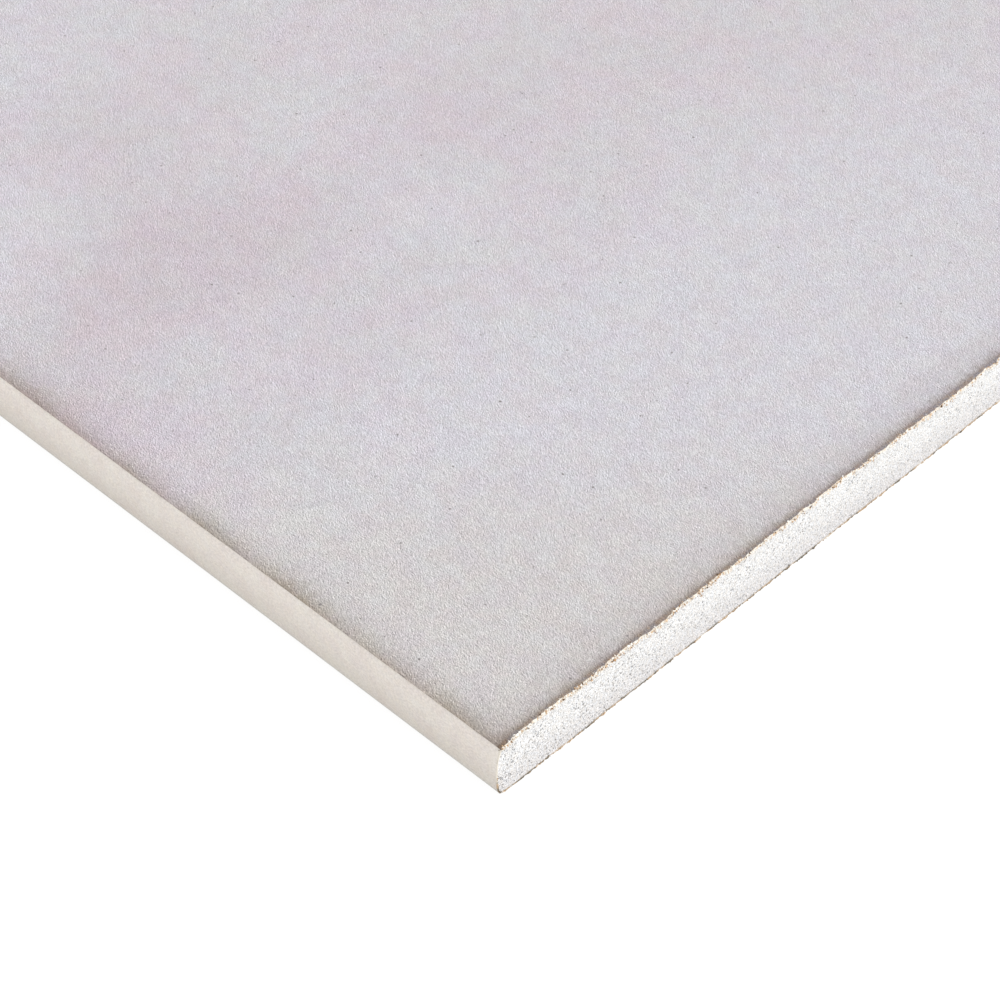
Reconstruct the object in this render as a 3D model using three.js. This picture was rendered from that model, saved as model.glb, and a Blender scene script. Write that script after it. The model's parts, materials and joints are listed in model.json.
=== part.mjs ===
// A drywall sheet (gypsum board) with square long edges: a gypsum core between two papers.
//
// The face paper covers the finished side, wraps round both long edges and is tucked under the
// back paper, where each flap lies in a shallow seat in the core. The back paper covers the other
// side and ends just short of the fold. Both ends are cut square, so the core and the edges of
// both papers are open to view there.
//
// The sheet lies with its finished side down, as it is stored. Millimetres, +Z up. The origin is
// the centre of the finished side, +X runs along the sheet and +Y across it.

import * as THREE from "three";

// ---------------------------------------------------------------- the sheet
const SHEET_LENGTH = 2438.4; // 8 ft
const SHEET_WIDTH = 1219.2; // 4 ft, over the crests of the long edges
const SHEET_THICKNESS = 12.7; // 1/2 in, both papers included

// ---------------------------------------------------------------- the papers
const FACE_PAPER_THICKNESS = 0.33;
const BACK_PAPER_THICKNESS = 0.33;
const FLAP_WIDTH = 25; // how far the face paper runs in over the back of the core

// ---------------------------------------------------------------- the long edges
// Towards each long edge both sides roll off a little, and the wall between them is crowned.
const FACE_ROLL_WIDTH = 3.2;
const FACE_ROLL_DROP = 0.32;
const FACE_ARRIS_RADIUS = 1.4;
const WALL_CROWN_RADIUS = 27;
const BACK_FOLD_RADIUS = 0.6;
const BACK_ROLL_WIDTH = 5;
const BACK_ROLL_DROP = 0.7;

// ---------------------------------------------------------------- facets for each arc
const ROLL_STEPS = 4;
const ARRIS_STEPS = 6;
const WALL_STEPS = 9; // odd, so that the middle facet of the wall stands upright
const FOLD_STEPS = 4;

const UP = Math.PI / 2; // the outward normal's angle on the back
const DOWN = -UP; // and on the finished face

// Under the back paper: the top of the flaps, and the top of the core between them.
const BACK_SEAT_Z = SHEET_THICKNESS - BACK_PAPER_THICKNESS;

// A roll-off is an arc tangent to its flat side that drops by `drop` over `width`.
function rollOff(width, drop) {
  const turn = 2 * Math.atan2(drop, width);
  return { turn, radius: width / Math.sin(turn), drop };
}

// The arcs of a long edge's outside, from the finished face round to the back. Each one is
// tangent to the next, and its angles are those of the outward normal above the horizontal.
function longEdgeArcs() {
  const face = rollOff(FACE_ROLL_WIDTH, FACE_ROLL_DROP);
  const back = rollOff(BACK_ROLL_WIDTH, BACK_ROLL_DROP);
  // The wall's arc takes the height that the rolls, the arris and the fold leave.
  const left =
    BACK_SEAT_Z -
    face.drop -
    back.drop -
    FACE_ARRIS_RADIUS * Math.cos(face.turn) -
    BACK_FOLD_RADIUS * Math.cos(back.turn);
  const wallTilt = Math.asin(left / (2 * WALL_CROWN_RADIUS - FACE_ARRIS_RADIUS - BACK_FOLD_RADIUS));
  return [
    { name: "face roll", radius: face.radius, to: DOWN + face.turn, steps: ROLL_STEPS },
    { name: "face arris", radius: FACE_ARRIS_RADIUS, to: -wallTilt, steps: ARRIS_STEPS },
    { name: "wall", radius: WALL_CROWN_RADIUS, to: wallTilt, steps: WALL_STEPS },
    { name: "back fold", radius: BACK_FOLD_RADIUS, to: UP - back.turn, steps: FOLD_STEPS },
    { name: "back roll", radius: back.radius, to: UP, steps: ROLL_STEPS },
  ];
}

// The same arcs with their centres, placed so that the wall's middle facet stands at -SHEET_WIDTH / 2.
function placedEdgeArcs() {
  const normal = (angle) => new THREE.Vector2(-Math.cos(angle), Math.sin(angle));
  const start = new THREE.Vector2(0, 0);
  let from = DOWN;
  const arcs = longEdgeArcs().map((arc) => {
    const centre = start.clone().addScaledVector(normal(from), -arc.radius);
    const placed = { ...arc, from, centre };
    start.copy(centre).addScaledVector(normal(arc.to), arc.radius);
    from = arc.to;
    return placed;
  });
  const wall = arcs.find((arc) => arc.name === "wall");
  const halfFacet = (wall.to - wall.from) / wall.steps / 2;
  const crestY = wall.centre.x - wall.radius * Math.cos(halfFacet);
  const shift = -SHEET_WIDTH / 2 - crestY;
  arcs.forEach((arc) => (arc.centre.x += shift));
  return arcs;
}

const EDGE_ARCS = placedEdgeArcs();

// The points of one arc at `depth` under the outside of the edge, or above it where depth is negative.
function arcPoints(arc, depth) {
  const points = [];
  for (let step = 0; step <= arc.steps; step++) {
    const angle = arc.from + ((arc.to - arc.from) * step) / arc.steps;
    const radius = arc.radius - depth;
    points.push(
      new THREE.Vector2(
        arc.centre.x - radius * Math.cos(angle),
        arc.centre.y + radius * Math.sin(angle),
      ),
    );
  }
  return points;
}

// The whole long edge at `depth`, from the finished face to the back, each shared point once.
function edgePoints(depth) {
  return EDGE_ARCS.flatMap((arc, i) => arcPoints(arc, depth).slice(i === 0 ? 0 : 1));
}

const mirrored = (points) => points.map((p) => new THREE.Vector2(-p.x, p.y)).reverse();

// Where a flap of the face paper ends on the back of the core.
const FLAP_END_Y = -SHEET_WIDTH / 2 + FLAP_WIDTH;
const FLAP_UNDERSIDE_Z = BACK_SEAT_Z - FACE_PAPER_THICKNESS;

// ---------------------------------------------------------------- the sections, in Y and Z
// `half` runs round the edge at -Y; its mirror image carries on round the edge at +Y.
const closedSection = (half) => new THREE.Shape([...half, ...mirrored(half)]);

function coreSection() {
  const flapSeatEnd = [
    new THREE.Vector2(FLAP_END_Y, FLAP_UNDERSIDE_Z),
    new THREE.Vector2(FLAP_END_Y, BACK_SEAT_Z),
  ];
  return closedSection([...edgePoints(FACE_PAPER_THICKNESS), ...flapSeatEnd]);
}

function facePaperSection() {
  const outside = edgePoints(0);
  const inside = edgePoints(FACE_PAPER_THICKNESS).reverse();
  const flapEnd = [
    new THREE.Vector2(FLAP_END_Y, BACK_SEAT_Z),
    new THREE.Vector2(FLAP_END_Y, FLAP_UNDERSIDE_Z),
  ];
  return closedSection([...outside, ...flapEnd, ...inside]);
}

function backPaperSection() {
  const backRoll = EDGE_ARCS.find((arc) => arc.name === "back roll");
  const underside = arcPoints(backRoll, 0).reverse();
  const outside = arcPoints(backRoll, -BACK_PAPER_THICKNESS);
  return closedSection([...underside, ...outside]);
}

// ---------------------------------------------------------------- the solids
// A section in Y and Z, drawn in the shape's own x and y, runs the whole length along X.
const SECTION_TO_SHEET = new THREE.Matrix4().makeBasis(
  new THREE.Vector3(0, 1, 0),
  new THREE.Vector3(0, 0, 1),
  new THREE.Vector3(1, 0, 0),
);

function alongSheet(section) {
  const solid = new THREE.ExtrudeGeometry(section, {
    depth: SHEET_LENGTH,
    bevelEnabled: false,
  });
  return solid.translate(0, 0, -SHEET_LENGTH / 2).applyMatrix4(SECTION_TO_SHEET);
}

function piece(name, section, color, roughness) {
  const material = new THREE.MeshStandardMaterial({ color, roughness, metalness: 0 });
  const mesh = new THREE.Mesh(alongSheet(section), material);
  mesh.name = name;
  return mesh;
}

const sheet = new THREE.Group();
sheet.name = "drywall_sheet";
sheet.add(
  piece("gypsum_core", coreSection(), "#f5f3f1", 0.95),
  piece("face_paper", facePaperSection(), "#dbd3cd", 0.75),
  piece("back_paper", backPaperSection(), "#d3cfd4", 0.9),
);

export default sheet;
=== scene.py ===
# %% [markdown]
# # A drywall sheet, back side up
#
# Drywall is a slab of foamed gypsum between two papers. The ivory face paper wraps round both long
# edges, the grey back paper covers the other side, and both ends are cut, so the white core and the
# brown inside of the papers are open to view there. This lesson dresses the bare solids of such a
# sheet. The solids load first and are measured, because the dressed sheet has to keep their size.

# %% Load the bare solids
import json
import math

import bmesh
import bpy
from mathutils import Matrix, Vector

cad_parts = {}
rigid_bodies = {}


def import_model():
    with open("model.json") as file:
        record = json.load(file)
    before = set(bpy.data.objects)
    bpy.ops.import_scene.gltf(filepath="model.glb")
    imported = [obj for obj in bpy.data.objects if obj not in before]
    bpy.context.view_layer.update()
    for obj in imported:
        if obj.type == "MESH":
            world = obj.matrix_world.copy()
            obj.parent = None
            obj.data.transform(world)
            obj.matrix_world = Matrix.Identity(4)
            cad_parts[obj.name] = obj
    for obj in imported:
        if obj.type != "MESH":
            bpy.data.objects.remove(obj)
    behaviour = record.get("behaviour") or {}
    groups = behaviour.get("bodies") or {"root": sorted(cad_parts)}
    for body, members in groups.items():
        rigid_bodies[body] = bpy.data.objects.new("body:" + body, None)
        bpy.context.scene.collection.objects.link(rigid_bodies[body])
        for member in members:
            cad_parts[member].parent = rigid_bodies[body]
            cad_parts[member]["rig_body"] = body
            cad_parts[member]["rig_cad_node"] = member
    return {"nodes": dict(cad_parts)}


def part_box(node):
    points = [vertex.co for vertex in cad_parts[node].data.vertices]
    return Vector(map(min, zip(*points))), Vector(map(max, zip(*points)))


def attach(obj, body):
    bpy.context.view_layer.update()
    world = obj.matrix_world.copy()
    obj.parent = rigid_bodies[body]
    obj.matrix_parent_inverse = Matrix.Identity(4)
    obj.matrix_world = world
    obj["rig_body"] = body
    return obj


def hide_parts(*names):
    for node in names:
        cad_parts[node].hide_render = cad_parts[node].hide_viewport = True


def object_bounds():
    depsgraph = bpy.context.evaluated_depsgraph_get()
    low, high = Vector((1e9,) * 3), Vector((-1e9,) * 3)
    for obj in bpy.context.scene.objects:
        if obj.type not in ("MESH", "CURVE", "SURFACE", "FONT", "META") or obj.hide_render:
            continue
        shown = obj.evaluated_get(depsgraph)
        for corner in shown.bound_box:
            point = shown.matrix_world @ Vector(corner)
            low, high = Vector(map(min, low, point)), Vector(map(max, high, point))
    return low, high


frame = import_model()
bare_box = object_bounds()

MM = 0.001  # one millimetre, in metres
LOW, HIGH = bare_box
HALF_LENGTH = HIGH.x
HALF_WIDTH = HIGH.y
BACK = HIGH.z  # the height of the back of the sheet
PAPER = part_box("gypsum_core")[0].z - LOW.z  # the thickness of the paper under the core
X_AXIS, Y_AXIS, Z_AXIS = Vector((1, 0, 0)), Vector((0, 1, 0)), Vector((0, 0, 1))
print(f"sheet {2 * HALF_LENGTH / MM:.1f} x {2 * HALF_WIDTH / MM:.1f} x {BACK / MM:.1f} mm")
print(f"paper {PAPER / MM:.2f} mm")

# %% [markdown]
# ## The camera
#
# The view is a close one of a single corner, from above and from outside both edges that meet
# there. A long lens keeps the edges nearly straight and the sheet calm. The camera is placed from
# the corner, so that it stays on it if the sheet's size changes, and it is turned by two angles
# only: its azimuth, from looking along +Y, and how far it looks down.

# %% The camera
NEAR_CORNER = Vector((HIGH.x, LOW.y, HIGH.z))
CAMERA_FROM_CORNER = Vector((200.9, -204.6, 333.3)) * MM
CAMERA_AZIMUTH = math.radians(44.38)
CAMERA_LOOKS_DOWN = math.radians(44.10)
CAMERA_LENS = 98.43  # millimetres, as is the sensor's width
SENSOR_WIDTH = 36

bpy.ops.object.camera_add(
    location=NEAR_CORNER + CAMERA_FROM_CORNER,
    rotation=(math.pi / 2 - CAMERA_LOOKS_DOWN, 0, CAMERA_AZIMUTH),
)
camera = bpy.context.object
camera.name = "corner_camera"
camera.data.lens = CAMERA_LENS
camera.data.sensor_width = SENSOR_WIDTH
bpy.context.scene.camera = camera
print(f"camera {(camera.location - NEAR_CORNER).length / MM:.0f} mm from the corner")

# %% [markdown]
# ## Node trees written as sums
#
# A finish is mostly arithmetic on a place: how far a point is from the cut, how deep a bubble is
# there. Joining Math nodes by hand hides that arithmetic, so one small class wraps a socket and
# lets Python's own signs add the nodes. The same class serves shaders and Geometry Nodes, because
# both know the same Math, Noise and Voronoi nodes. That matters later: the bubbles that dent the
# mesh and the bubbles that darken its colour come from one function and fall on the same spots.


# %% A socket that takes part in sums
class Link:
    """The output of a node. Arithmetic on it adds Math nodes to its tree."""

    def __init__(self, graph, socket):
        self.graph, self.socket = graph, socket

    def maths(self, operation, *operands):
        sockets = dict(enumerate(operands))
        return self.graph.node("ShaderNodeMath", {"operation": operation}, sockets)

    def __add__(self, other):
        return self.maths("ADD", self, other)

    def __sub__(self, other):
        return self.maths("SUBTRACT", self, other)

    def __rsub__(self, other):
        return self.maths("SUBTRACT", other, self)

    def __mul__(self, other):
        return self.maths("MULTIPLY", self, other)

    def __truediv__(self, other):
        return self.maths("DIVIDE", self, other)

    def __abs__(self):
        return self.maths("ABSOLUTE", self)

    __radd__ = __add__
    __rmul__ = __mul__

    def at_least(self, floor_value):
        return self.maths("MAXIMUM", self, floor_value)

    def at_most(self, ceiling):
        return self.maths("MINIMUM", self, ceiling)

    def power(self, exponent):
        return self.maths("POWER", self, exponent)

    def root(self):
        return self.maths("SQRT", self)

    def sign(self):
        return self.maths("SIGN", self)

    def fade(self, none_at, full_at):
        """0 where this value is `none_at` or beyond, 1 at `full_at`, smooth between them."""
        spread = {"From Min": none_at, "From Max": full_at, "Value": self}
        if none_at > full_at:
            spread.update({"From Min": full_at, "From Max": none_at, "To Min": 1.0, "To Max": 0.0})
        return self.graph.node("ShaderNodeMapRange", {"interpolation_type": "SMOOTHSTEP"}, spread)

    def scaled(self, factor):
        """This vector or colour times a number or a value."""
        sockets = {0: self, "Scale": factor}
        return self.graph.node("ShaderNodeVectorMath", {"operation": "SCALE"}, sockets)


class Graph:
    """A node tree, emptied and ready to be written."""

    def __init__(self, tree):
        self.tree = tree
        tree.nodes.clear()

    def node(self, kind, settings=None, sockets=None, output=0):
        """Adds a node, sets its settings, then fills its sockets with values or links."""
        made = self.tree.nodes.new(kind)
        for name, value in (settings or {}).items():
            if name == "stops":
                ramp = made.color_ramp
                while len(ramp.elements) < len(value):
                    ramp.elements.new(1)
                for element, (position, colour) in zip(ramp.elements, value):
                    element.position, element.color = position, (*colour, 1)
            else:
                setattr(made, name, value)
        for name, value in (sockets or {}).items():
            socket = made.inputs[name]
            if isinstance(value, Link):
                self.tree.links.new(value.socket, socket)
            elif socket.type == "RGBA":
                socket.default_value = (*value, 1)
            else:
                socket.default_value = value
        return Link(self, made.outputs[output]) if made.outputs else made

    def other(self, link, output):
        """Another output of the node that `link` comes from."""
        return Link(self, link.socket.node.outputs[output])

    def parts(self, vector):
        """The x, y and z of a vector, as three values."""
        first = self.node("ShaderNodeSeparateXYZ", {}, {0: vector})
        return first, self.other(first, 1), self.other(first, 2)

    def vector(self, x, y, z):
        return self.node("ShaderNodeCombineXYZ", {}, {0: x, 1: y, 2: z})

    def stretched(self, place, *factors):
        """A place with each axis multiplied. A small factor stretches a pattern that way."""
        return self.node("ShaderNodeVectorMath", {"operation": "MULTIPLY"}, {0: place, 1: factors})

    def noise(self, place, grain, detail=2.0, roughness=0.5, dimensions="3D"):
        """Smooth noise from about 0.25 to 0.75, with lumps of about `grain`."""
        sockets = {"Vector": place, "Scale": 1 / grain, "Detail": detail, "Roughness": roughness}
        return self.node("ShaderNodeTexNoise", {"noise_dimensions": dimensions}, sockets)

    def flat_noise(self, place, grain, detail=0.0, roughness=0.5):
        """The same for a flat sheet. It leaves out the height, which renders faster."""
        return self.noise(place, grain, detail, roughness, "2D")

    def ripple(self, place, spacing, degrees, order):
        """Ripples from 0 to 1, `spacing` apart. At `order` 1 all of them run in one direction."""
        sockets = {0: place, 1: 1 / spacing, 2: 1.0, 3: order, 4: math.radians(degrees)}
        return self.node("ShaderNodeTexGabor", {"gabor_type": "2D"}, sockets)

    def mix(self, factor, first, second):
        """From colour `first` at 0 to colour `second` at 1."""
        sockets = {0: factor, 6: first, 7: second}
        return self.node("ShaderNodeMix", {"data_type": "RGBA"}, sockets, output=2)

    def turned(self, place, degrees):
        """A place turned about Z, so that a stretched pattern can run at an angle."""
        sockets = {"Vector": place, "Angle": math.radians(degrees)}
        return self.node("ShaderNodeVectorRotate", {"rotation_type": "Z_AXIS"}, sockets)

    def random(self, low, high, seed):
        """A different value for each thing, between two numbers or two vectors."""
        kind, first, output = ("FLOAT_VECTOR", 0, 0) if isinstance(low, tuple) else ("FLOAT", 2, 1)
        sockets = {first: low, first + 1: high, "Seed": seed}
        return self.node("FunctionNodeRandomValue", {"data_type": kind}, sockets, output)

    def object_place(self):
        """Where a point lies on the sheet, in millimetres."""
        return self.node("ShaderNodeTexCoord", output=3).scaled(1 / MM)

    def attribute(self, name):
        return self.node("ShaderNodeAttribute", {"attribute_name": name}, output=2)

    def tinged(self, colour, factor, first, second):
        """A colour times a tinge, from `first` at 0 to `second` at 1."""
        tinge = self.mix(factor, first, second)
        settings = {"data_type": "RGBA", "blend_type": "MULTIPLY"}
        return self.node("ShaderNodeMix", settings, {0: 1.0, 6: colour, 7: tinge}, output=2)

    def surface(self, colour, roughness, relief, shine):
        """Ends a finish: its colour, roughness and relief in millimetres."""
        bump = self.node("ShaderNodeBump", {}, {"Height": relief, "Distance": MM})
        sockets = {"Base Color": colour, "Roughness": roughness, "Normal": bump}
        sockets["Specular IOR Level"] = shine
        shader = self.node("ShaderNodeBsdfPrincipled", {}, sockets)
        self.node("ShaderNodeOutputMaterial", {}, {"Surface": shader})


def new_finish(name):
    """A material with an empty tree to write its finish in."""
    finish = bpy.data.materials.new(name)
    finish.use_nodes = True
    return finish, Graph(finish.node_tree)


def dress(piece, finish):
    """Gives a piece its finish, and no other."""
    piece.data.materials.clear()
    piece.data.materials.append(finish)
    print(f"{piece.name}: {finish.name}, {len(finish.node_tree.nodes)} nodes")


# %% [markdown]
# ## Distances that every finish needs
#
# Wear and cuts follow the edges of the sheet, so both the shapes and the finishes ask the same two
# questions of a point: how far it is from the nearest cut end, and how far from the nearest long
# edge. They are worked out in millimetres, because that is how one thinks of a paper's fibres.


# %% Places in millimetres
TOP = round(BACK / MM, 3)  # the height of the back in millimetres, for what happens just under it
ENDS_APART = 40.0  # keeps a pattern from being the same on both cut ends
SECTION_STRETCH = (1.15, 0.85)  # the patterns of a cut, along it and in height


def edge_distances(graph, place):
    """How far a place is from the nearest cut end and from the nearest long edge."""
    x, y, _ = graph.parts(place)
    return HALF_LENGTH / MM - abs(x), HALF_WIDTH / MM - abs(y)


def section_place(graph, place):
    """A place on a cut end, told apart only by its end and by where it lies on it."""
    x, y, z = graph.parts(place)
    along, upwards = SECTION_STRETCH
    return graph.vector(x.sign() * ENDS_APART, y * along, z * upwards)


def cut_inwards(graph, place):
    """How far a cut lies inwards of dead straight: it wanders, and its upper edge has crumbled."""
    x, y, z = graph.parts(place)
    spot = section_place(graph, place)
    waves = 0.5 * graph.noise(spot, 24) + 0.12 * graph.noise(spot, 5)
    waves = waves + 0.1 * graph.noise(spot, 0.9, 3)
    along = graph.vector(x.sign() * ENDS_APART, y, 0.0)
    crumbled = 2.3 * (graph.noise(along, 12, 4, 0.85) - 0.5) - 0.36
    return (waves - 0.22).at_least(0.0) + crumbled * z.fade(TOP - 3.2, TOP - 0.5)


def clumps(graph, place):
    """1 where the torn paper hangs together in a clump, and 0 between the clumps."""
    return graph.noise(place, 2.0, 2, 0.6).fade(0.42, 0.58)


def patches_of_cut(graph, place):
    """Noise that picks dark, brown or pale for the cut through the face paper."""
    return graph.noise(place, 3.5, 4, 0.85)


# %% [markdown]
# ## Working in edit mode
#
# Each piece starts as a copy of its own bare solid. That keeps the wrapped edge exactly as it is,
# which a new cube would have to imitate. The copy's loose triangles are welded and merged back into
# flat faces, and then only those parts are cut finely where detail will show.


# %% Helpers for edit mode
def make_active(piece):
    bpy.ops.object.select_all(action="DESELECT")
    piece.select_set(True)
    bpy.context.view_layer.objects.active = piece


def copied(piece, name):
    """A copy of a piece, with its own mesh."""
    make_active(piece)
    bpy.ops.object.duplicate()
    copy = bpy.context.object
    copy.name = copy.data.name = name
    return copy


def select(piece, kind, wanted):
    """In edit mode, selects only the faces or edges that `wanted` says yes to."""
    bpy.ops.mesh.select_mode(type=kind)
    bpy.ops.mesh.select_all(action="DESELECT")
    mesh = bmesh.from_edit_mesh(piece.data)
    for item in mesh.faces if kind == "FACE" else mesh.edges:
        if wanted(item):
            item.select_set(True)
    bmesh.update_edit_mesh(piece.data)


WELDED_WITHIN = 0.001 * MM  # corners this close become one
FLAT_WITHIN = math.radians(0.05)  # triangles that meet at less than this become one face


def start_from(node, name):
    """A copy of a bare solid, welded into whole faces and left in edit mode."""
    piece = copied(frame["nodes"][node], name)
    piece.parent = None
    del piece["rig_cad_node"], piece["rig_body"]
    piece.data.materials.clear()
    bpy.ops.object.mode_set(mode="EDIT")
    bpy.ops.mesh.select_all(action="SELECT")
    bpy.ops.mesh.customdata_custom_splitnormals_clear()
    bpy.ops.mesh.remove_doubles(threshold=WELDED_WITHIN)
    bpy.ops.mesh.dissolve_limited(angle_limit=FLAT_WITHIN)
    for side in (-1, 1):
        select(piece, "FACE", lambda face: face.normal.x * side > 0.99)
        bpy.ops.mesh.dissolve_faces()
    return piece


def slice_across(piece, wanted, axis, places):
    """Cuts the faces that `wanted` picks by a plane across `axis` at each place."""
    for place in places:
        select(piece, "FACE", wanted)
        bpy.ops.mesh.bisect(plane_co=axis * place, plane_no=axis)


def divide(piece, wanted, *cuts):
    """Divides the picked edges and the strips between them, once for each number of cuts."""
    for number in cuts:
        select(piece, "EDGE", wanted)
        bpy.ops.mesh.subdivide(number_cuts=number)


ALONG_X, ALONG_Y = 0, 1
SLACK = 0.01 * MM  # points this close lie on the same line


def straight_edges(axis, side, low, high, reach=0.0):
    """Picks level edges along an axis, from `low` to `high` and within `reach` of a border.

    The border is the one that runs the same way on the `side` of the sheet: 1 or -1.
    """
    across = 1 - axis
    border = (HALF_LENGTH, HALF_WIDTH)[across]

    def wanted(edge):
        a, b = (vert.co for vert in edge.verts)
        straight = abs(a.z - b.z) < SLACK and abs(a[across] - b[across]) < SLACK
        in_reach = side * a[across] > border - reach - SLACK
        between = min(a[axis], b[axis]) > low - SLACK and max(a[axis], b[axis]) < high + SLACK
        return straight and in_reach and between

    return wanted


def spaced(start, end, step):
    """Places between two ends, about `step` apart, without the ends."""
    count = max(1, round(abs(end - start) / step))
    return [start + (end - start) * i / count for i in range(1, count)]


def run_tree(piece, name, write):
    """Adds a Geometry Nodes modifier whose tree `write` fills, and applies it."""
    tree = bpy.data.node_groups.new(name, "GeometryNodeTree")
    tree.interface.new_socket("Geometry", in_out="INPUT", socket_type="NodeSocketGeometry")
    tree.interface.new_socket("Geometry", in_out="OUTPUT", socket_type="NodeSocketGeometry")
    graph = Graph(tree)
    source = tree.nodes.new("NodeGroupInput")
    result = write(graph, Link(graph, source.outputs[0]))
    target = tree.nodes.new("NodeGroupOutput")
    tree.links.new(result.socket, target.inputs[0])
    modifier = piece.modifiers.new(name, "NODES")
    modifier.node_group = tree
    make_active(piece)
    bpy.ops.object.modifier_apply(modifier=name)


def move_points(graph, geometry, offset_mm):
    """Moves every point of a mesh by a vector in millimetres."""
    sockets = {"Geometry": geometry, "Offset": offset_mm.scaled(MM)}
    return graph.node("GeometryNodeSetPosition", {}, sockets)


def mark_rim(graph, geometry, from_end):
    """Stores 1 on the points of a cut edge and 0 elsewhere.

    The finish reads it once the points have moved, when their place no longer tells.
    """
    stored = {"Geometry": geometry, "Name": "rim", "Value": from_end.fade(0.02, 0.01)}
    settings = {"data_type": "FLOAT", "domain": "POINT"}
    return graph.node("GeometryNodeStoreNamedAttribute", settings, stored)


def place_of_points(graph):
    return graph.node("GeometryNodeInputPosition").scaled(1 / MM)


def settle(piece, node=None, smooth_angle=30):
    """Finishes a piece: its shading, the body it rides on and the solid it replaces."""
    make_active(piece)
    bpy.ops.object.shade_smooth_by_angle(angle=math.radians(smooth_angle))
    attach(piece, "root")
    if node:
        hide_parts(node)
    triangles = sum(len(face.vertices) - 2 for face in piece.data.polygons)
    print(f"{piece.name}: {triangles} triangles")


# %% [markdown]
# ## The gypsum core
#
# The core shows only at its two ends. There it is a cut through foam: flat as a whole, a little
# wavy from the blade, and full of pits where the cut went through a bubble. The rest of the core
# lies under paper and stays plain. So the copy of the solid is cut into fine cells on its ends
# alone, finest at the near corner, coarser along the rest and coarser again on the far end.

# %% Cut the ends of the core into cells
ROUNDED = 6 * MM  # the width along a long edge that holds its roll-offs
FLAP = 25 * MM  # how far the face paper runs in over the back of the core
NEAR_STRETCH = 135 * MM  # the stretch of the near end that gets the finest cells
CORE_TOP = BACK - PAPER
FLAP_SEAT = CORE_TOP - PAPER

near_end_y = -HALF_WIDTH + NEAR_STRETCH
far_start_y = near_end_y + 1 * MM
on_end = lambda face: abs(face.normal.x) > 0.99
plus_x = lambda face: on_end(face) and face.normal.x > 0
minus_x = lambda face: on_end(face) and face.normal.x < 0
near_part = lambda face: plus_x(face) and face.calc_center_median().y < near_end_y
far_part = lambda face: plus_x(face) and face.calc_center_median().y > far_start_y
rounded = lambda face: abs(face.calc_center_median().y) > HALF_WIDTH - ROUNDED

core = start_from("gypsum_core", "cut_gypsum_core")
borders = [side * (HALF_WIDTH - inset) for side in (-1, 1) for inset in (ROUNDED, FLAP)]
slice_across(core, on_end, Y_AXIS, borders)
slice_across(core, plus_x, Y_AXIS, (near_end_y, far_start_y))
for part, row in ((near_part, 0.224 * MM), (far_part, 0.62 * MM), (minus_x, 0.9 * MM)):
    slice_across(core, part, Z_AXIS, [*spaced(PAPER, FLAP_SEAT, row), FLAP_SEAT])
for part, column in ((near_part, 0.25 * MM), (far_part, 0.8 * MM), (minus_x, 1.0 * MM)):
    for side in (-1, 1):
        on_side = lambda face: face.calc_center_median().y * side > 0
        corner = lambda face: part(face) and rounded(face) and on_side(face)
        if any(corner(face) for face in bmesh.from_edit_mesh(core.data).faces):
            places = spaced(side * HALF_WIDTH, side * (HALF_WIDTH - ROUNDED), column)
            slice_across(core, corner, Y_AXIS, places)

# Two numbers divide twice: 20 cuts and then 22 make 21 x 23 cells, each 0.23 mm long.
flat_edge, flap_edge = HALF_WIDTH - ROUNDED, HALF_WIDTH - FLAP
divide(core, straight_edges(ALONG_Y, 1, -flat_edge, -flap_edge), 84)
divide(core, straight_edges(ALONG_Y, 1, -flap_edge, near_end_y), 20, 22)
divide(core, straight_edges(ALONG_Y, 1, far_start_y, flap_edge), 40, 40)
divide(core, straight_edges(ALONG_Y, 1, flap_edge, flat_edge), 29)
divide(core, straight_edges(ALONG_Y, -1, -flat_edge, -flap_edge), 18)
divide(core, straight_edges(ALONG_Y, -1, -flap_edge, flap_edge), 33, 33)
divide(core, straight_edges(ALONG_Y, -1, flap_edge, flat_edge), 18)
bpy.ops.object.mode_set(mode="OBJECT")
print(f"core in cells: {len(core.data.polygons)} faces")

# %% [markdown]
# The foam's bubbles are balls of many sizes. A cut shows each as a round pit, as wide and deep as
# the place where the blade met the ball. Voronoi cells give exactly that: each cell has one centre
# at random, and a ball about it that the cut may meet or miss. The waves of the cut are noise.


# %% Dent the ends of the core
# In millimetres: the size of the cells that hold one bubble each, and the largest radius of one.
BUBBLES = ((0.46, 0.17), (0.95, 0.24), (2.8, 0.42))


def bubble_depth(graph, place, spacing, radius):
    """How deep the cut runs into one size of bubble, in millimetres."""
    sockets = {"Vector": place, "Scale": 1 / spacing}
    distance = graph.node("ShaderNodeTexVoronoi", {"feature": "F1"}, sockets)
    chance, _, _ = graph.parts(graph.other(distance, "Color"))
    crowd = 0.55 + 0.85 * graph.noise(place, 5)
    ball = radius * crowd * (0.35 + 0.65 * chance)
    gap = (distance * spacing + 0.3 * (graph.noise(place, 0.3, 2, 0.7) - 0.5)).at_least(0.0)
    return (ball * ball - gap * gap).at_least(0.0).root()


def dent_the_ends(graph, geometry):
    place = place_of_points(graph)
    x, _, _ = graph.parts(place)
    from_end, _ = edge_distances(graph, place)
    on_cut = from_end.fade(0.02, 0.01)
    spot = section_place(graph, place)
    bubbles = bubble_depth(graph, spot, *BUBBLES[1]) + bubble_depth(graph, spot, *BUBBLES[2])
    inwards = -1.0 * x.sign() * on_cut * (cut_inwards(graph, place) + 0.8 * bubbles)
    return move_points(graph, geometry, graph.vector(inwards, 0.0, 0.0))


run_tree(core, "dents", dent_the_ends)
settle(core, "gypsum_core", 50)

# %% [markdown]
# ## The back paper
#
# The grey paper is cut with the core, and the blade drags its edge up into a low ragged lip. The
# lip catches the light on its outer side and leaves a dark slope behind it. The paper's long edges
# end just short of the fold and are a little uneven. So the copy is cut into narrow strips towards
# each cut end, those strips are divided along the cut, and the points are then lifted and shifted.

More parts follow.
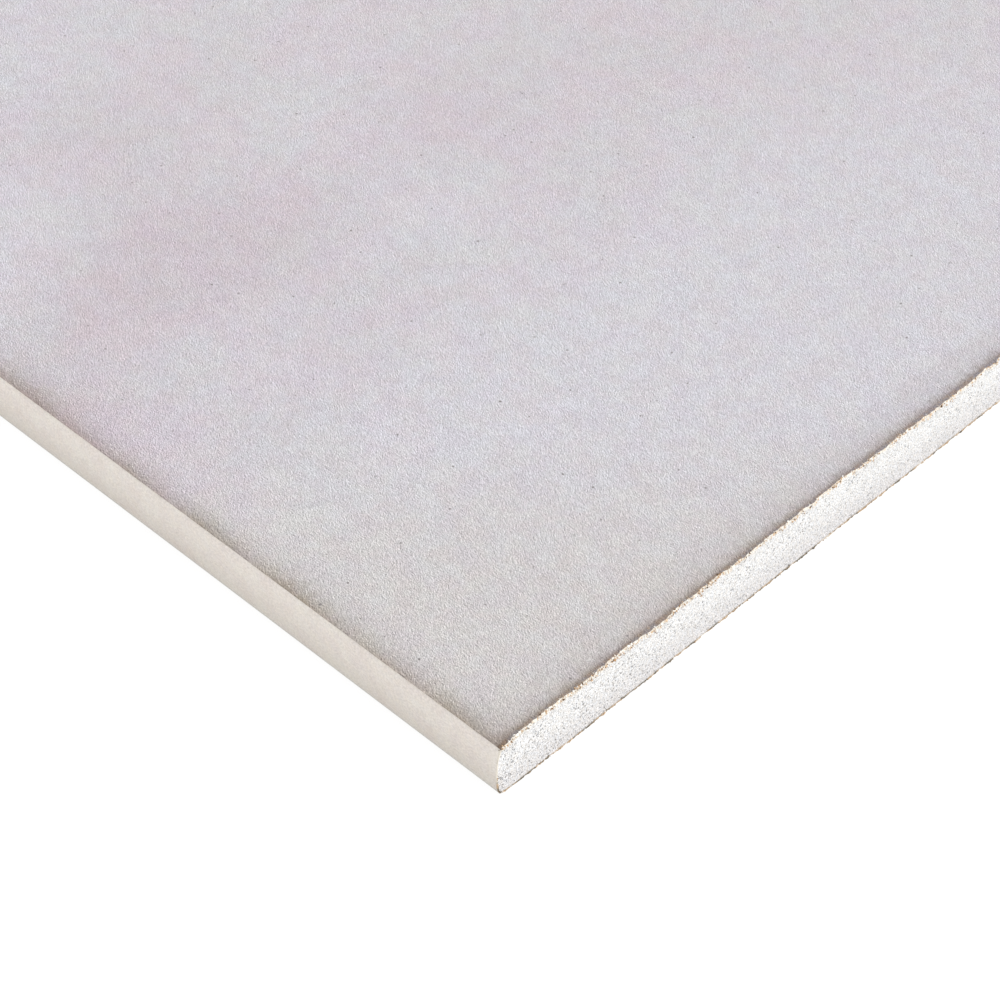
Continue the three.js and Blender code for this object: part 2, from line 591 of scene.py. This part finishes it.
# %% Cut the back paper into strips and cells
STRIPS_FROM_CUT = tuple(mm * MM for mm in (0.2, 0.45, 0.8, 1.3, 2.1, 3.2, 4.6))
END_ZONE = STRIPS_FROM_CUT[-1]
BACK_ROLL = 6 * MM  # from the long edge to where the back paper is flat

paper_cuts = [side * (HALF_LENGTH - inset) for side in (-1, 1) for inset in STRIPS_FROM_CUT]
in_end_zone = lambda face: abs(face.calc_center_median().x) > HALF_LENGTH - END_ZONE
everywhere = lambda face: True


def near_roll(face):
    """The back paper's roll-off at the near corner."""
    centre = face.calc_center_median()
    return in_end_zone(face) and centre.x > 0 and centre.y < -flat_edge


back = start_from("back_paper", "grey_back_paper")
slice_across(back, everywhere, X_AXIS, paper_cuts)
slice_across(back, in_end_zone, Y_AXIS, (-flat_edge, near_end_y, flat_edge))
slice_across(back, near_roll, Y_AXIS, spaced(-HALF_WIDTH, -flat_edge, 0.25 * MM))
slice_across(back, everywhere, X_AXIS, (HALF_LENGTH - NEAR_STRETCH,))
divide(back, straight_edges(ALONG_Y, 1, -flat_edge, near_end_y, END_ZONE), 21, 22)
divide(back, straight_edges(ALONG_Y, 1, near_end_y, flat_edge, END_ZONE), 36, 36)
divide(back, straight_edges(ALONG_Y, -1, -flat_edge, near_end_y, END_ZONE), 10, 10)
divide(back, straight_edges(ALONG_Y, -1, near_end_y, flat_edge, END_ZONE), 30, 30)
near_x, strip_x = HALF_LENGTH - NEAR_STRETCH, HALF_LENGTH - END_ZONE
divide(back, straight_edges(ALONG_X, -1, near_x, strip_x, BACK_ROLL), 20, 20)
divide(back, straight_edges(ALONG_X, -1, -strip_x, near_x, BACK_ROLL), 30, 30)
divide(back, straight_edges(ALONG_X, 1, near_x, strip_x, BACK_ROLL), 9, 9)
divide(back, straight_edges(ALONG_X, 1, -strip_x, near_x, BACK_ROLL), 30, 30)
select(back, "FACE", lambda face: face.normal.z > 0.5)
bpy.ops.object.vertex_group_add()
bpy.context.object.vertex_groups.active.name = "outer"
bpy.ops.object.vertex_group_assign()
bpy.ops.object.mode_set(mode="OBJECT")
print(f"back paper in cells: {len(back.data.polygons)} faces")


# %% Lift and fray the back paper
HIGHEST_LIFT = 0.33  # millimetres
EASED_OVER = 3.2  # the paper follows the wandering cut only this far in, in millimetres


def lift_and_fray(graph, geometry):
    place = place_of_points(graph)
    x, y, _ = graph.parts(place)
    from_end, from_side = edge_distances(graph, place)
    outer = graph.node("GeometryNodeInputNamedAttribute", {"data_type": "FLOAT"}, {"Name": "outer"})
    spot = section_place(graph, place)
    swell = 0.1 + 1.8 * graph.noise(spot, 9)
    crisp = graph.noise(place, 0.7, 3, 0.7)
    lift = swell * (0.05 * from_end.fade(4.0, 0.8) + 0.16 * from_end.fade(1.1, 0.1))
    lift = lift + 0.2 * (crisp - 0.5) * from_end.fade(0.9, 0.1)
    tears = 0.24 * (graph.noise(place, 0.5, 2, 0.6) - 0.5) * from_end.fade(0.05, 0.01)
    eased = (1.0 - from_end / EASED_OVER).at_least(0.0)
    inwards = -1.0 * x.sign() * (eased * cut_inwards(graph, place) + tears)
    edge = from_side.fade(0.9, 0.8) * outer
    sideways = -1.0 * y.sign() * edge * (0.5 * graph.noise(place, 6, 3, 0.6) - 0.12).at_least(0.0)
    upwards = outer * lift.at_most(HIGHEST_LIFT) - 0.12 * edge
    marked = mark_rim(graph, geometry, from_end)
    return move_points(graph, marked, graph.vector(inwards, sideways, upwards))


run_tree(back, "lift_and_fray", lift_and_fray)
settle(back, "back_paper", 40)

# %% [markdown]
# ## The face paper
#
# The ivory paper is smooth, and its wrapped edge needs no more than the solid already has. At the
# cut ends its edge is ragged like the back paper's, but it lies flat on the floor and can't lift.

# %% Cut the face paper into cells along its cut edges
face = start_from("face_paper", "ivory_face_paper")
FACE_ZONE = 1.5 * MM
face_cuts = [side * (HALF_LENGTH - inset) for side in (-1, 1) for inset in (0.3 * MM, FACE_ZONE)]
near_cut = lambda facet: abs(facet.calc_center_median().x) > HALF_LENGTH - FACE_ZONE
slice_across(face, everywhere, X_AXIS, face_cuts)
slice_across(face, near_cut, Y_AXIS, (-flat_edge, near_end_y, flat_edge))
divide(face, straight_edges(ALONG_Y, 1, -flat_edge, near_end_y, FACE_ZONE), 21, 22)
divide(face, straight_edges(ALONG_Y, 1, near_end_y, flat_edge, FACE_ZONE), 31, 31)
divide(face, straight_edges(ALONG_Y, -1, -flat_edge, near_end_y, FACE_ZONE), 10, 10)
divide(face, straight_edges(ALONG_Y, -1, near_end_y, flat_edge, FACE_ZONE), 25, 25)
bpy.ops.object.mode_set(mode="OBJECT")
print(f"face paper in cells: {len(face.data.polygons)} faces")


# %% Fray the face paper
def fray(graph, geometry):
    place = place_of_points(graph)
    x, _, _ = graph.parts(place)
    from_end, _ = edge_distances(graph, place)
    tears = 1.5 * (graph.noise(place, 2.4, 4, 0.85) - 0.52) * from_end.fade(0.05, 0.01)
    eased = (1.0 - from_end / (FACE_ZONE / MM)).at_least(0.0)
    inwards = -1.0 * x.sign() * (eased * cut_inwards(graph, place) + tears)
    marked = mark_rim(graph, geometry, from_end)
    return move_points(graph, marked, graph.vector(inwards, 0.0, 0.0))


run_tree(face, "fray", fray)
settle(face, "face_paper", 20)

# %% [markdown]
# ## Torn bits along the cuts
#
# Where the blade tore the paper, its edge is a crumbly seam of brown flakes, fibres and white dust.
# Modelling each bit is hopeless, so a few are modelled once: flakes are squashed balls with their
# corners pushed about at random, and fibres are thin three-sided cones that curl.

# %% Model a few bits
bits = bpy.data.collections.new("torn_bits")


def keep_bit(name):
    """Puts the bit just made into the collection that copies are taken from."""
    bit = bpy.context.object
    bit.name = bit.data.name = name
    bpy.context.scene.collection.objects.unlink(bit)
    bits.objects.link(bit)


FLAKES = (  # half the length, width and height of each, in millimetres
    (0.16, 0.11, 0.05),
    (0.20, 0.09, 0.06),
    (0.13, 0.12, 0.09),
    (0.09, 0.08, 0.08),
    (0.24, 0.12, 0.08),
    (0.18, 0.15, 0.11),
)
for number, shape in enumerate(FLAKES):
    bpy.ops.object.select_all(action="DESELECT")
    bpy.ops.mesh.primitive_ico_sphere_add(subdivisions=1, radius=MM)
    bpy.ops.object.mode_set(mode="EDIT")
    bpy.ops.transform.vertex_random(offset=0.35 * MM, seed=number + 1)
    bpy.ops.transform.resize(value=shape)
    bpy.ops.object.mode_set(mode="OBJECT")
    keep_bit(f"flake_{number}")

FIBRES = ((0.75, 80), (0.5, 40))  # length in millimetres, curl in degrees
for number, (length, curl) in enumerate(FIBRES):
    bpy.ops.object.select_all(action="DESELECT")
    root, tip = 0.035 * MM, 0.015 * MM
    bpy.ops.mesh.primitive_cone_add(vertices=3, radius1=root, radius2=tip, depth=length * MM)
    fibre = bpy.context.object
    bpy.ops.object.mode_set(mode="EDIT")
    select(fibre, "EDGE", lambda edge: edge.calc_length() > 0.5 * length * MM)
    bpy.ops.mesh.subdivide(number_cuts=3)
    bpy.ops.object.mode_set(mode="OBJECT")
    modifier = fibre.modifiers.new("curl", "SIMPLE_DEFORM")
    modifier.deform_method = "BEND"
    modifier.deform_axis = "X"
    modifier.angle = math.radians(curl)
    bpy.ops.object.modifier_apply(modifier="curl")
    keep_bit(f"fibre_{number}")

# %% [markdown]
# Geometry Nodes strews copies of the bits over the torn edge itself: points are scattered on the
# paper's lip and cut, each point gets one bit, turned and sized at random, and the copies are made
# real. Each bit also carries a number, its tint, which the finish turns into a colour between dark
# brown and white. The bits hang together in clumps, densely at the near corner and sparsely
# elsewhere.

# %% Strew the bits
TOP_LIMIT = BACK / MM + 0.34  # nothing stands higher than this, in millimetres
NEAR_BLEND = 6  # millimetres on either side of the near stretch's end
DENSER_FROM, DENSEST_AT = 75, 30  # millimetres from a long edge


def strew_bits(source_piece, name, where, seed, near_density, far_density, paleness, largest):
    """Makes a piece of bits, strewn over the parts of another piece that `where` picks.

    The densities are bits to a square millimetre, and `largest` is the scale of the largest bit.
    """

    def write(graph, geometry):
        place = place_of_points(graph)
        x, y, z = graph.parts(place)
        from_end, from_side = edge_distances(graph, place)
        normal_x, _, normal_z = graph.parts(graph.node("GeometryNodeInputNormal"))
        near = y.fade(near_end_y / MM + NEAR_BLEND, near_end_y / MM - NEAR_BLEND) * x.fade(-1, 1)
        density = far_density + (near_density - far_density) * near
        density = density * (0.2 + 1.4 * clumps(graph, place))
        density = density * (0.65 + 0.8 * from_side.fade(DENSER_FROM, DENSEST_AT))
        rim = graph.node("GeometryNodeInputNamedAttribute", {"data_type": "FLOAT"}, {"Name": "rim"})
        density = density * where(x, z, from_end, rim, abs(normal_x), normal_z)
        scatter = {"distribute_method": "RANDOM"}
        sockets = {"Mesh": geometry, "Density": density / (MM * MM), "Seed": seed}
        points = graph.node("GeometryNodeDistributePointsOnFaces", scatter, sockets)
        source = {"Collection": bits, "Separate Children": True, "Reset Children": True}
        instances = {
            "Points": points,
            "Instance": graph.node("GeometryNodeCollectionInfo", {}, source),
            "Pick Instance": True,
            "Rotation": graph.random((-1.4, -1.4, 0.0), (1.4, 1.4, 2 * math.pi), seed + 1),
            "Scale": graph.random(0.35 * largest, largest, seed + 2),
        }
        strewn = graph.node("GeometryNodeInstanceOnPoints", {}, instances)
        bit_place = place_of_points(graph)
        _, _, bit_z = graph.parts(bit_place)
        tint = graph.random(0.0, 0.8, seed + 3) + graph.noise(bit_place, 0.9, 2, 0.6) + paleness
        tint = tint - 0.1 * bit_z.fade(TOP - 0.5, TOP + 0.1)
        tinted = {"Geometry": strewn, "Name": "tint", "Value": tint}
        settings = {"data_type": "FLOAT", "domain": "INSTANCE"}
        real = graph.node("GeometryNodeStoreNamedAttribute", settings, tinted)
        real = graph.node("GeometryNodeRealizeInstances", {}, {"Geometry": real})
        x, y, z = graph.parts(place_of_points(graph))
        kept_z = z.at_least(LOW.z / MM + 0.01).at_most(TOP_LIMIT)
        moved = {"Geometry": real, "Position": graph.vector(x, y, kept_z).scaled(MM)}
        return graph.node("GeometryNodeSetPosition", {}, moved)

    piece = copied(source_piece, name)
    for key in list(piece.keys()):
        del piece[key]
    run_tree(piece, name, write)
    settle(piece)
    return piece


def on_cut_face(across, from_end):
    """1 on the faces of a cut: they look along the sheet and lie at its very end."""
    return across.fade(0.5, 0.7) * from_end.fade(1.8, 1.5)


def torn_lip(side):
    """The lip and the cut of the back paper, at one end."""

    def where(x, z, from_end, rim, across, upward):
        lip = 0.2 * rim.fade(0.7, 1.0) * upward.fade(0.2, 0.4)
        return lip.at_least(on_cut_face(across, from_end)) * (x * side).fade(-1, 1)

    return where


def torn_head(x, z, from_end, rim, across, upward):
    """The uppermost part of the cut, under the back paper's edge."""
    return on_cut_face(across, from_end) * z.fade(TOP - 1.1, TOP - 0.45)


def torn_foot(x, z, from_end, rim, across, upward):
    """The foot of the face paper's cut, at both ends."""
    return on_cut_face(across, from_end) * z.fade(4.0, 1.5)


torn_pieces = (
    strew_bits(
        back, "torn_back_near_end", torn_lip(1),
        seed=11, near_density=28.0, far_density=3.2, paleness=-0.3, largest=1.6,
    ),
    strew_bits(
        back, "torn_back_far_end", torn_lip(-1),
        seed=21, near_density=3.2, far_density=3.2, paleness=-0.3, largest=1.9,
    ),
    strew_bits(
        core, "torn_core_ends", torn_head,
        seed=41, near_density=10.5, far_density=1.5, paleness=-0.29, largest=1.8,
    ),
    strew_bits(
        face, "torn_flap_ends", torn_head,
        seed=51, near_density=18.0, far_density=2.0, paleness=-0.15, largest=1.4,
    ),
    strew_bits(
        face, "torn_foot_ends", torn_foot,
        seed=31, near_density=5.0, far_density=1.2, paleness=-0.45, largest=1.0,
    ),
)
for bit in list(bits.objects):
    bpy.data.objects.remove(bit)

# %% [markdown]
# ## Floor and light
#
# A pale floor and a pale sky give soft light from everywhere, as in a white studio. One wide sun
# from the right stands low, so that it brightens the cut end and lets the paper's fibres throw
# small shadows. A sun suits a sheet this long better than a lamp, because it is as bright at the
# far end as at the near one.

# %% Floor and light
FLOOR_SIZE = 60  # metres
FLOOR_DROP = 0.05 * MM  # the floor stays this far under the sheet, so that no faces coincide
FLOOR_GREY = 0.2
FLOOR_GLOW = 0.85
SKY_STRENGTH = 1.0
SUN_AZIMUTH = math.radians(127)  # turned as the camera's azimuth is: 90 is from +X, 180 from +Y
SUN_ELEVATION = math.radians(32)
SUN_STRENGTH = 0.5 * math.pi
SUN_WIDTH = math.radians(9)

bpy.ops.mesh.primitive_plane_add(size=FLOOR_SIZE, location=(0, 0, LOW.z - FLOOR_DROP))
floor = bpy.context.object
floor.name = "floor"
floor_finish = bpy.data.materials.new("pale_floor")
floor_finish.use_nodes = True
floor_shader = floor_finish.node_tree.nodes["Principled BSDF"]
floor_shader.inputs["Base Color"].default_value = (FLOOR_GREY, FLOOR_GREY, FLOOR_GREY, 1)
floor_shader.inputs["Roughness"].default_value = 0.9
floor_shader.inputs["Specular IOR Level"].default_value = 0.1
floor_shader.inputs["Emission Color"].default_value = (1, 1, 1, 1)
floor_shader.inputs["Emission Strength"].default_value = FLOOR_GLOW
floor_finish.cycles.emission_sampling = "NONE"  # so wide a glow is found by chance, which is faster
floor.data.materials.append(floor_finish)

bpy.ops.object.light_add(type="SUN", rotation=(math.pi / 2 - SUN_ELEVATION, 0, SUN_AZIMUTH))
sun = bpy.context.object
sun.name = "low_sun"
sun.data.energy = SUN_STRENGTH
sun.data.angle = SUN_WIDTH

sky = bpy.data.worlds.new("pale_sky")
sky.use_nodes = True
background = sky.node_tree.nodes["Background"]
background.inputs["Color"].default_value = (1, 1, 1, 1)
background.inputs["Strength"].default_value = SKY_STRENGTH
sky.cycles.sampling_method = "NONE"
bpy.context.scene.world = sky
bpy.context.scene.view_settings.view_transform = "Standard"
print(f"sun {math.degrees(SUN_ELEVATION):.0f} degrees high, sky {SKY_STRENGTH}")

# %% [markdown]
# ## The finish of the gypsum
#
# Set gypsum is matt and nearly white. Painted shade makes it a little greyer towards the foot of
# the cut. Its bubbles are too fine to model one by one, so the finish repeats them all: the same
# function that dented the mesh gives the depth here, which paints shade into the pits and adds
# relief. Between the bubbles the cut is grainy, like coarse sugar, and a little warmer or cooler
# from spot to spot.

# %% The finish of the gypsum
GYPSUM_HEAD = (0.72, 0.715, 0.705)
GYPSUM_SHADED_FOOT = (0.62, 0.605, 0.60)
BUBBLE_SHADE = (0.22, 0.215, 0.22)
WARM_TINGE = (1.02, 0.995, 0.965)
COOL_TINGE = (0.98, 1.0, 1.03)

finish, graph = new_finish("foamed_gypsum")
place = graph.object_place()
spot = section_place(graph, place)
_, _, height = graph.parts(place)
_, from_side = edge_distances(graph, place)
grain = graph.noise(spot, 0.27, 2, 0.8)
mottle = graph.noise(spot, 1.4, 3, 0.6)
coarse = 2.18 + 0.2 * from_side.fade(60, 10)
# painted shade: the cut greys towards its foot
clean = graph.mix(height.fade(0.5, TOP - 2.2), GYPSUM_SHADED_FOOT, GYPSUM_HEAD)
clean = clean.scaled(1.035 + coarse * (grain - 0.5) + 0.28 * (mottle - 0.5))

small, middling, large = (bubble_depth(graph, spot, *size) for size in BUBBLES)
hollow = (small / BUBBLES[0][1]).at_least(middling / BUBBLES[1][1]).at_least(large / BUBBLES[2][1])
shallow = hollow - 0.12 * from_side.fade(30, 110)
# painted shade in the pits, darker where a bubble is deeper
colour = graph.mix(shallow.fade(0.1, 1.15), clean, BUBBLE_SHADE)
tinge = graph.noise(spot, 0.7, 3, 0.75)
colour = graph.tinged(colour, tinge.fade(0.35, 0.65), WARM_TINGE, COOL_TINGE)
relief = 0.2 * grain + 0.08 * mottle - 0.5 * small - 0.4 * middling

# %% [markdown]
# Shreds of both papers cling to the gypsum that they were torn from. Under the back paper they hang
# in clumps, cream on the whole and orange close to the paper. At the foot, the face paper leaves
# brown patches, and dark ones that are partly painted shadow under the paper's edge. Modelled bits
# lie over them, so a stain is enough here.

# %% Shreds of paper on the gypsum
TORN_CREAM = (0.88, 0.84, 0.76)
TORN_ORANGE = (0.66, 0.45, 0.27)
CUT_BROWN = (0.46, 0.33, 0.21)
DARK_CUT_AND_SHADOW = (0.14, 0.115, 0.08)

ragged = 1.4 * (mottle - 0.5) + 1.6 * (grain - 0.5)
tuft = graph.noise(place, 0.4, 3, 0.75)
torn = graph.mix(tuft.fade(0.55, 0.65) * height.fade(TOP - 0.9, TOP - 0.6), TORN_CREAM, TORN_ORANGE)
stained = (height + ragged).fade(TOP - 0.82, TOP - 0.25)
colour = graph.mix(stained * (0.22 + 0.55 * clumps(graph, place)), colour, torn)
patch = patches_of_cut(graph, place)
# dark patches: partly the paper's inside, partly painted shadow under its edge
under = graph.mix(patch.fade(0.44, 0.52), DARK_CUT_AND_SHADOW, CUT_BROWN)
foot = (height + 0.5 * ragged).fade(0.8, 0.35)
colour = graph.mix(0.4 * foot * patch.fade(0.62, 0.55), colour, under)
graph.surface(colour, 0.95, relief, 0.15)
dress(core, finish)

# %% [markdown]
# ## The finish of the grey paper
#
# The back paper is made of waste paper, so it is a felt of short fibres in slightly different
# greys. Most fibres lie roughly along the sheet, the way the paper ran through its machine. Fine
# ripples across that way give the felt. Noise drawn out a little to either side of it gives the
# single fibres, and only those stand out far enough to need relief too.

# %% The felt of the grey paper
FIBRE_ANGLE = -22  # degrees from +X
FIBRES_CROSS = (-6, 8)  # degrees on either side of that


def strands(graph, place, degrees, width):
    """Thin crests drawn out along a direction, like fibres laid side by side."""
    drawn = graph.stretched(graph.turned(place, -degrees), 0.3, 1.0, 1.0)
    crest = 1.0 - 7.0 * abs(graph.flat_noise(drawn, width, 1, 0.6) - 0.5)
    return crest.at_least(0.0)


finish, graph = new_finish("grey_paper")
place = graph.object_place()
from_end, from_side = edge_distances(graph, place)
fine = graph.ripple(place, 0.43, FIBRE_ANGLE + 90, 0.5)
laid = strands(graph, place, FIBRE_ANGLE + FIBRES_CROSS[0], 0.38)
crossed = strands(graph, place, FIBRE_ANGLE + FIBRES_CROSS[1], 0.3)
mottle = graph.flat_noise(place, 5, 3, 0.75)
fibres = 0.175 * laid + 0.13 * crossed + 1.24 * (fine - 0.5) + 0.18 * (mottle - 0.5)
relief = 0.045 * laid + 0.035 * crossed

# %% [markdown]
# The grey itself drifts over the sheet, as in any paper of mixed stock. It is warm at the corners
# and bluer further in, with lilac patches a hand's width in from the cut ends. Out on the open
# sheet these drifts go over into broad and weak ones, so that no band shows from afar. Three pairs
# of tinges, each pair a shade and its opposite, add the finer variation. A tinge multiplies the
# colour and changes its brightness very little.

# %% The colours of the grey paper
LILAC_GREY = (0.553, 0.501, 0.537)
BLUE_GREY = (0.592, 0.574, 0.611)
WARM_GREY = (0.580, 0.555, 0.555)
PINK_TINGE = (1.010, 0.993, 1.001)
GREEN_TINGE = (0.990, 1.007, 0.999)
YELLOW_TINGE = (1.006, 1.001, 0.985)
VIOLET_TINGE = (0.994, 0.999, 1.015)
ROSE_TINGE = (1.012, 0.990, 1.003)
SAGE_TINGE = (0.990, 1.008, 0.997)

from_both = from_end + from_side
open_sheet = from_both.fade(170, 320)
drift = graph.flat_noise(place, 170)
lilac = from_end.fade(60, 120) * (2.4 * graph.flat_noise(place, 45) - 0.5)
lilac = lilac + open_sheet * (0.6 * drift - 0.05 - lilac)
blue = from_both.fade(40, 125) * (0.7 + 0.6 * graph.flat_noise(place, 60))
blue = blue * (1.0 - 0.3 * drift.fade(0.35, 0.65) * open_sheet)
colour = graph.mix(blue, WARM_GREY, BLUE_GREY)
colour = graph.mix(lilac, colour, LILAC_GREY)

yellowed = graph.flat_noise(place, 8, 3, 0.75)
broad = graph.flat_noise(place, 18, 1)
blush = 0.5 + (broad.fade(0.35, 0.65) - 0.5) * from_end.fade(20, 100)
colour = graph.tinged(colour, mottle.fade(0.38, 0.62), PINK_TINGE, GREEN_TINGE)
colour = graph.tinged(colour, yellowed.fade(0.36, 0.64), YELLOW_TINGE, VIOLET_TINGE)
colour = graph.tinged(colour, blush, ROSE_TINGE, SAGE_TINGE)
colour = colour.scaled(0.822 + fibres)

# %% [markdown]
# Towards the edges the paper changes. A brown band follows each long edge: partly a stain where
# sheets rub on each other in the stack, partly painted shade where the paper rolls off. A narrower
# and greyer band along each cut is painted shade, the shadow behind the lifted lip. Both are sums
# of falls: a wide faint one and a narrow strong one whose reach wanders with the noise. The last
# half millimetre at a cut is painted shade as well, grey here and brown there.

# %% Stain and painted shade along the edges of the grey paper
UNCHANGED = (1.0, 1.0, 1.0)
EDGE_STAIN_AND_SHADE = (0.55, 0.465, 0.355)
CUT_SHADE = (0.60, 0.545, 0.50)
RIM_SHADE_GREY = (0.80, 0.82, 0.87)
RIM_SHADE_BROWN = (0.90, 0.82, 0.73)


def fall(distance, reach):
    """1 at an edge, and evenly down to 0 at `reach` from it."""
    return (1.0 - distance / reach).at_least(0.0)


lumps = graph.flat_noise(place, 1.8, 2, 0.6)
# a brown stain along each long edge, partly painted shade where the paper rolls off
side_stain_and_shade = 0.8 * fall(from_side, 0.8 + 7.0 * mottle + 6.6 * lumps).power(3.0)
side_stain_and_shade = (side_stain_and_shade + 0.12 * fall(from_side, 9.0)) * (0.35 + 1.3 * broad)
colour = graph.tinged(colour, side_stain_and_shade, UNCHANGED, EDGE_STAIN_AND_SHADE)
# painted shade: the shadow behind the lifted lip, darker towards each cut
shade_near_cut = fall(from_end, 0.8 + 5.0 * lumps).power(2.0) * (0.4 + 1.4 * mottle)
shade_near_cut = shade_near_cut + 0.3 * fall(from_end, 10.0) + fall(from_end, 0.85)
colour = graph.tinged(colour, shade_near_cut, UNCHANGED, CUT_SHADE)
# painted shade on the last millimetre at a cut, grey here and brown there
rim_shaded = graph.tinged(colour, lumps.fade(0.4, 0.6), RIM_SHADE_GREY, RIM_SHADE_BROWN)
colour = graph.mix(from_end.fade(0.75, 0.4), colour, rim_shaded)

# %% [markdown]
# What is left is strewn over the paper or shows where it is torn. Some of the waste paper's ink
# stays as dark specks: each Voronoi cell may hold one at its centre. Along the long edges rubbing
# has raised pale fibres. On the torn rim the brown inside of the paper is open to view.

# %% Specks, raised fibres and the torn rim
SPECK = (0.23, 0.215, 0.21)
SPECK_CELLS = 7.0  # millimetres from one speck to the next
PALE_FIBRE = (0.80, 0.775, 0.74)
TORN_BROWN = (0.34, 0.21, 0.12)

sockets = {"Vector": place, "Scale": 1 / SPECK_CELLS}
from_centre = graph.node("ShaderNodeTexVoronoi", {"voronoi_dimensions": "2D"}, sockets)
chance, _, _ = graph.parts(graph.other(from_centre, "Color"))
speck = (from_centre * SPECK_CELLS + 0.4 * (lumps - 0.5)).fade(0.27, 0.1) * chance.fade(0.35, 1.0)
colour = graph.mix(speck, colour, SPECK)

streaks = graph.flat_noise(graph.stretched(place, 0.5, 1.0, 1.0), 3, 1)
raised = 0.8 * streaks.fade(0.5, 0.62) * fine.fade(0.6, 0.8)
raised = raised * from_side.fade(5.5, 3.5) * from_side.fade(0.8, 2) * from_end.fade(4, 9)
colour = graph.mix(raised, colour, PALE_FIBRE)

torn = graph.mix(fine.fade(0.55, 0.7), TORN_CREAM, TORN_ORANGE)
torn = graph.mix(fine.fade(0.35, 0.2), torn, TORN_BROWN)
colour = graph.mix(graph.attribute("rim").fade(0.5, 0.9), colour, torn)
graph.surface(colour, 0.9, relief, 0.15)
dress(back, finish)

# %% [markdown]
# ## The finish of the ivory paper
#
# The face paper is hard and smooth, because it will be painted. Its colour hardly varies: a soft
# mottle, and painted shade that darkens the wall towards its foot and greys its lowest millimetres.
# Inside, the paper is brown, and that shows where the blade cut it: as a thin broken line at the
# foot of the end and up the lower third of the wall. Its darkest patches are partly painted shadow
# under the paper's edge. Higher up, gypsum dust has paled the cut.

# %% The finish of the ivory paper
IVORY_HEAD = (0.73, 0.675, 0.625)
IVORY_SHADED_FOOT = (0.54, 0.495, 0.445)
FOOT_SHADE_TINGE = (0.885, 0.925, 0.95)
CUT_PALE = (0.70, 0.65, 0.57)

finish, graph = new_finish("ivory_paper")
place = graph.object_place()
_, _, height = graph.parts(place)
cloud = graph.noise(place, 5, 4, 0.7)
yellowed = graph.noise(place, 1.5, 3, 0.8)
fine = graph.noise(graph.stretched(place, 0.8, 1.0, 1.0), 0.36, 2, 0.7)
# painted shade: the wall darkens towards its foot, and its lowest millimetres grey
colour = graph.mix(height.fade(-2, 12), IVORY_SHADED_FOOT, IVORY_HEAD)
colour = graph.tinged(colour, height.fade(2.3, 1.0), UNCHANGED, FOOT_SHADE_TINGE)
colour = colour.scaled(0.615 + 0.2 * cloud + 0.57 * fine)
colour = graph.tinged(colour, cloud.fade(0.3, 0.7), PINK_TINGE, GREEN_TINGE)
colour = graph.tinged(colour, yellowed.fade(0.35, 0.65), YELLOW_TINGE, VIOLET_TINGE)

from_end, _ = edge_distances(graph, place)
patch = patches_of_cut(graph, place)
# dark patches: partly the paper's inside, partly painted shadow under its edge
cut = graph.mix(patch.fade(0.44, 0.52), DARK_CUT_AND_SHADOW, CUT_BROWN)
cut = graph.mix(patch.fade(0.56, 0.62), cut, CUT_PALE)
low = (height + 3.0 * (patch - 0.5)).fade(4.5, 3.0)
cut = graph.mix(low, CUT_PALE, cut)
cut_part = (from_end + 0.3 * (fine - 0.5)).fade(0.2, 0.08).at_least(graph.attribute("rim"))
colour = graph.mix(cut_part, colour, cut)
graph.surface(colour, 0.75, 0.03 * fine, 0.25)
dress(face, finish)

# %% [markdown]
# ## The finish of the torn bits
#
# The bits come from the brown inside of the paper, and white gypsum dust covers many of them. The
# darkest tint is partly the paper's brown and partly painted shade among the clumped bits. Each
# bit's own tint picks its colour from a ramp.

# %% The finish of the torn bits
TINTS = (  # a tint and its colour
    # darkest: brown paper, partly painted shade among the clumps
    (0.16, (0.12, 0.07, 0.04)),
    (0.25, (0.42, 0.25, 0.13)),
    (0.38, (0.72, 0.50, 0.30)),
    (0.48, (0.85, 0.77, 0.66)),
    (0.62, (0.90, 0.88, 0.84)),
)
finish, graph = new_finish("torn_bits")
colour = graph.node("ShaderNodeValToRGB", {"stops": TINTS}, {"Fac": graph.attribute("tint")})
rough_grain = graph.noise(graph.object_place(), 0.12, 2, 0.6)
graph.surface(colour, 0.95, 0.03 * rough_grain, 0.1)
for piece in torn_pieces:
    dress(piece, finish)
